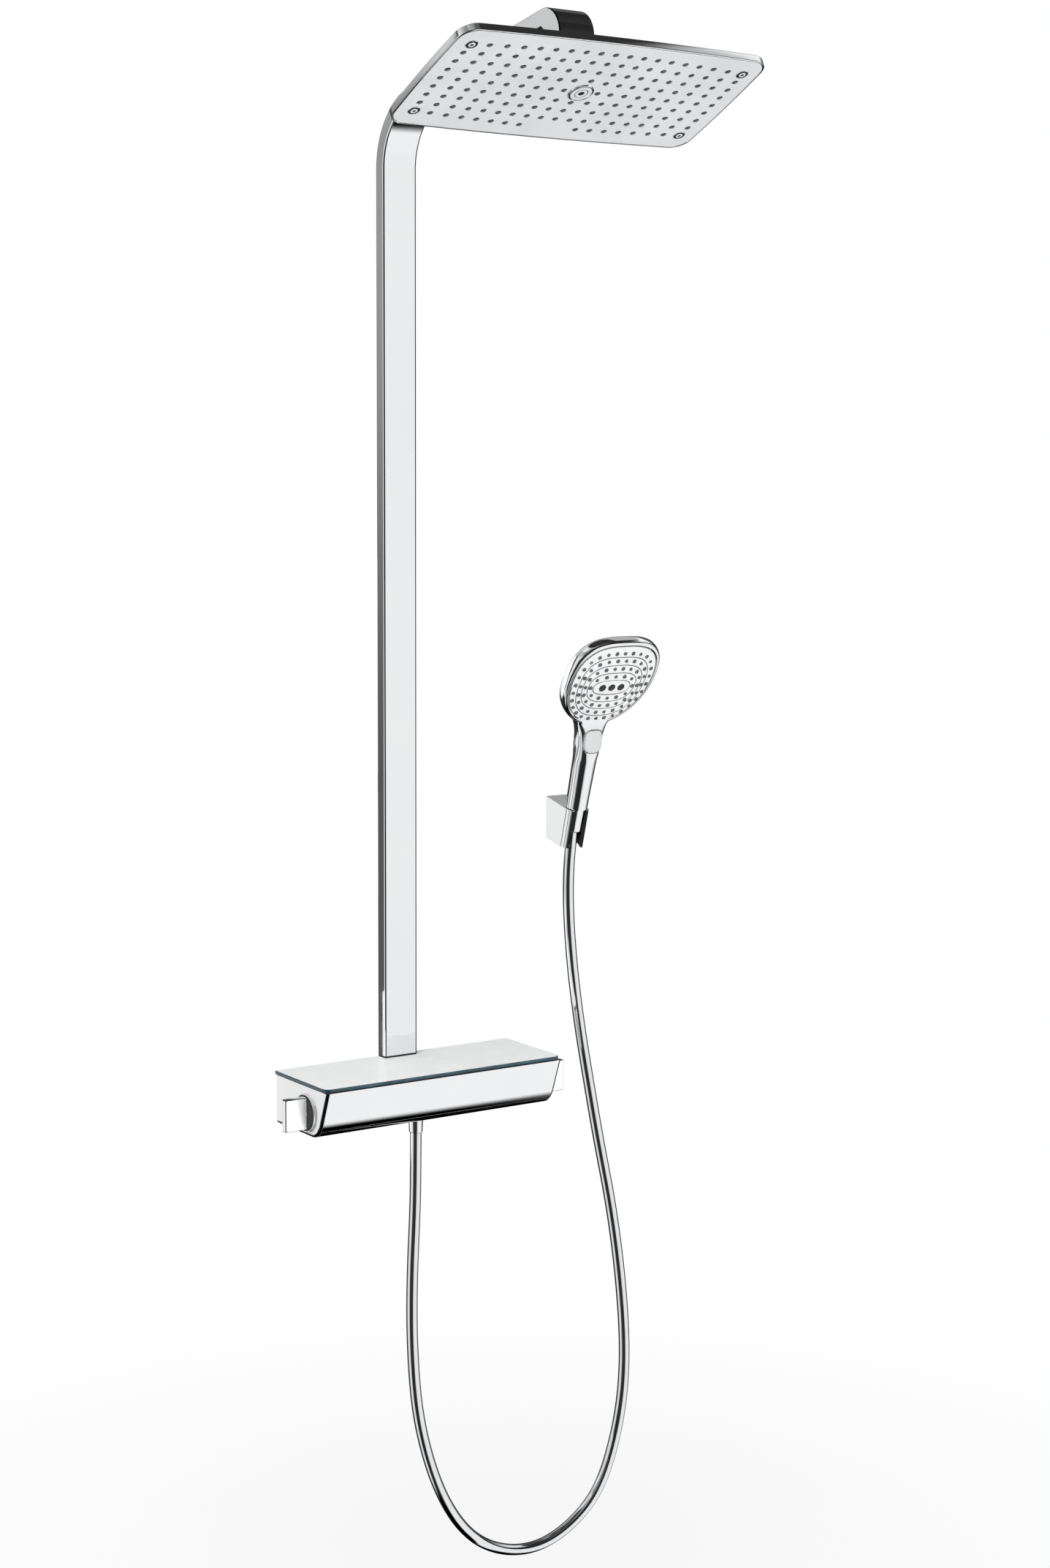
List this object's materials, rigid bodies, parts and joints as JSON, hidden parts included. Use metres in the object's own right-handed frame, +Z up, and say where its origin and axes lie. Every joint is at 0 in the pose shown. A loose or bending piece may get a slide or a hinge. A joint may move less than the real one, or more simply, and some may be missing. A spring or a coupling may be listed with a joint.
{
  "type": "rainfall shower column",
  "caption": "Wall-held rain shower: shelf mixer, flat bent column, tilting rectangular overhead head, and a soft-square hand shower on a hose in a wall holder.",
  "frame": {"origin": "centre of the mixer's wall plate, on the wall", "axes": "+X to the right along the wall as the user faces it, +Y into the wall, +Z up"},
  "size_m": [0.4757, 0.4232, 1.6843],
  "materials": {
    "chrome": "mirror chrome",
    "satin": "satin",
    "glass": "clear with a white underside and a dark edge",
    "silicone": "matte",
    "white": "gloss",
    "brass": "machined",
    "black": "matte",
    "rubber": "matte",
    "steel": "satin",
    "hose": "metallic effect"
  },
  "bodies": {
    "wall_set": {"mixer_casing": "chrome", "glass_shelf": "glass", "end_cap_left": "chrome", "end_cap_right": "chrome", "wall_plate": "steel", "valve_manifold": "brass", "thermostat_cartridge": "white", "diverter_cartridge": "white", "inlet_hot": "brass", "inlet_cold": "brass", "check_valve_hot": "white", "check_valve_cold": "white", "filter_washer_hot": "rubber", "filter_washer_cold": "rubber", "temperature_ring": "chrome", "diverter_ring": "chrome", "hose_outlet": "brass", "riser_connector": "brass", "hose_nut_lower": "chrome", "hose_washer_lower": "rubber", "shower_hose": "hose", "column_profile": "chrome", "column_foot_seal": "rubber", "column_wall_bracket": "steel", "water_pipe": "brass", "arm_end": "chrome", "ball_stud": "chrome", "holder_bracket": "chrome", "holder_liner": "black", "holder_wall_plate": "steel", "holder_screw": "steel"},
    "temperature_handle": {"temperature_handle": "chrome"},
    "diverter_handle": {"diverter_handle": "chrome"},
    "head_seat": {"ball_seat": "black"},
    "overhead_head": {"head_shell": "chrome", "spray_plate": "satin", "nozzle_mat": "silicone", "centre_disc": "chrome", "water_chamber": "black", "swivel_socket": "chrome", "plate_screw_front_left": "steel", "plate_screw_front_right": "steel", "plate_screw_back_left": "steel", "plate_screw_back_right": "steel"},
    "hand_shower": {"hand_shower_shell": "chrome", "hand_spray_face": "white", "hand_centre_insert": "white", "hand_waterway": "white", "hose_nut_upper": "chrome", "hose_washer_upper": "rubber"},
    "select_button": {"select_button": "chrome"}
  },
  "joints": [
    {"name": "temperature_turn", "type": "hinge", "parent": "wall_set", "child": "temperature_handle", "pos_m": [-0.1499, -0.0725, -0.001], "axis": [-1, 0, 0], "range_deg": [-90, 130]},
    {"name": "diverter_turn", "type": "hinge", "parent": "wall_set", "child": "diverter_handle", "pos_m": [0.1499, -0.0725, -0.001], "axis": [1, 0, 0], "range_deg": [-90, 90]},
    {"name": "head_side_tilt", "type": "hinge", "parent": "wall_set", "child": "head_seat", "pos_m": [0, -0.33551, 1.06586], "axis": [0, 1, 0], "range_deg": [-8, 8]},
    {"name": "head_tilt", "type": "hinge", "parent": "head_seat", "child": "overhead_head", "pos_m": [0, -0.33551, 1.06586], "axis": [1, 0, 0], "range_deg": [-4, 32]},
    {"name": "hand_shower_lift", "type": "slide", "parent": "wall_set", "child": "hand_shower", "axis": [0, -0.263, 0.9648], "range_m": [0, 0.06]},
    {"name": "select_press", "type": "slide", "parent": "hand_shower", "child": "select_button", "axis": [0, 0.9648, 0.263], "range_m": [0, 0.002], "stiffness_N_per_m": 400}
  ]
}
